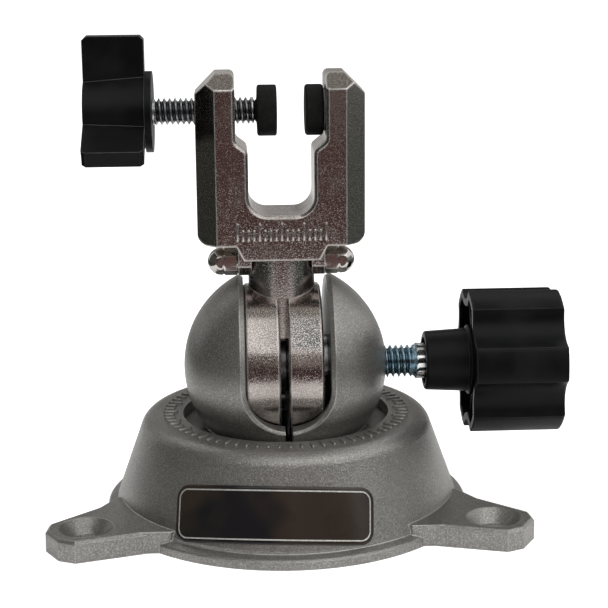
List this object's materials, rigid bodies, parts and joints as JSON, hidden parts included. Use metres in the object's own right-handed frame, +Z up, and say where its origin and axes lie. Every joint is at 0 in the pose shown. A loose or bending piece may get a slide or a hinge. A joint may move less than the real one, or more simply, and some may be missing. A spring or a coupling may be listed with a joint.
{
  "type": "ball vise",
  "caption": "Small bench vise: a U-shaped clamping head with a screw and pads on a post, held by a split ball that swivels and tilts in a cone-shaped bolted base and locks with one knob.",
  "frame": {"origin": "centre of the base's three bolt holes, on the bench plane (the foot's underside)", "axes": "+Z up along the base's axis and away from the bench; +X toward the lock knob; -Y toward the front, where the clamp's U is seen open; the clamp's screw lies along X"},
  "size_m": [0.1232, 0.1075, 0.1155],
  "materials": {
    "cast_grey": "satin silver-grey paint on a casting",
    "nickel": "nickel plate over a fine cast grain",
    "bright_chrome": "polished",
    "zinc_plate": "bright zinc plate, slightly blue",
    "spring_steel": "plain dark spring steel",
    "black_plastic": "satin black moulded plastic",
    "black_pad": "dull black"
  },
  "bodies": {
    "base": {"base_casting": "cast_grey", "retaining_ring": "spring_steel", "spring_washer": "spring_steel"},
    "ball": {"ball_half_left": "cast_grey", "ball_half_right": "cast_grey", "guide_pins": "spring_steel"},
    "drum": {"drum_half_left": "nickel", "drum_half_right": "nickel"},
    "head": {"head_yoke": "nickel", "head_post": "nickel", "post_bolt": "zinc_plate", "acorn_nut_left": "bright_chrome", "acorn_nut_right": "bright_chrome", "fixed_pad": "black_pad"},
    "pad": {"swivel_pad": "black_pad"},
    "clamp": {"clamp_screw": "zinc_plate", "clamp_knob": "black_plastic"},
    "disc": {"thrust_disc": "zinc_plate"},
    "lock": {"lock_stud": "zinc_plate", "lock_knob": "black_plastic"}
  },
  "joints": [
    {"name": "ball_turn", "type": "hinge", "parent": "base", "child": "ball", "pos_m": [0, 0, 0], "axis": [0, 0, 1], "continuous": true},
    {"name": "head_tilt", "type": "hinge", "parent": "ball", "child": "drum", "pos_m": [0, 0, 0.0358], "axis": [1, 0, 0], "range_deg": [-75, 75]},
    {"name": "head_spin", "type": "hinge", "parent": "drum", "child": "head", "pos_m": [-0.0007, 0, 0.0358], "axis": [0, 0, 1], "continuous": true},
    {"name": "pad_slide", "type": "slide", "parent": "head", "child": "pad", "axis": [1, 0, 0], "range_m": [-0.00317, 0.00635]},
    {"name": "clamp_turn", "type": "hinge", "parent": "pad", "child": "clamp", "pos_m": [0, 0, 0.0977], "axis": [1, 0, 0], "range_deg": [-900, 1800]},
    {"name": "disc_slide", "type": "slide", "parent": "ball", "child": "disc", "axis": [1, 0, 0], "range_m": [0, 0.00212]},
    {"name": "lock_turn", "type": "hinge", "parent": "disc", "child": "lock", "pos_m": [0, 0, 0.0358], "axis": [1, 0, 0], "range_deg": [0, 540]}
  ],
  "couplings": [
    {"joint": "clamp_turn", "follows": "pad_slide", "rad_per_m": 4947.4},
    {"joint": "lock_turn", "follows": "disc_slide", "rad_per_m": 4453}
  ]
}
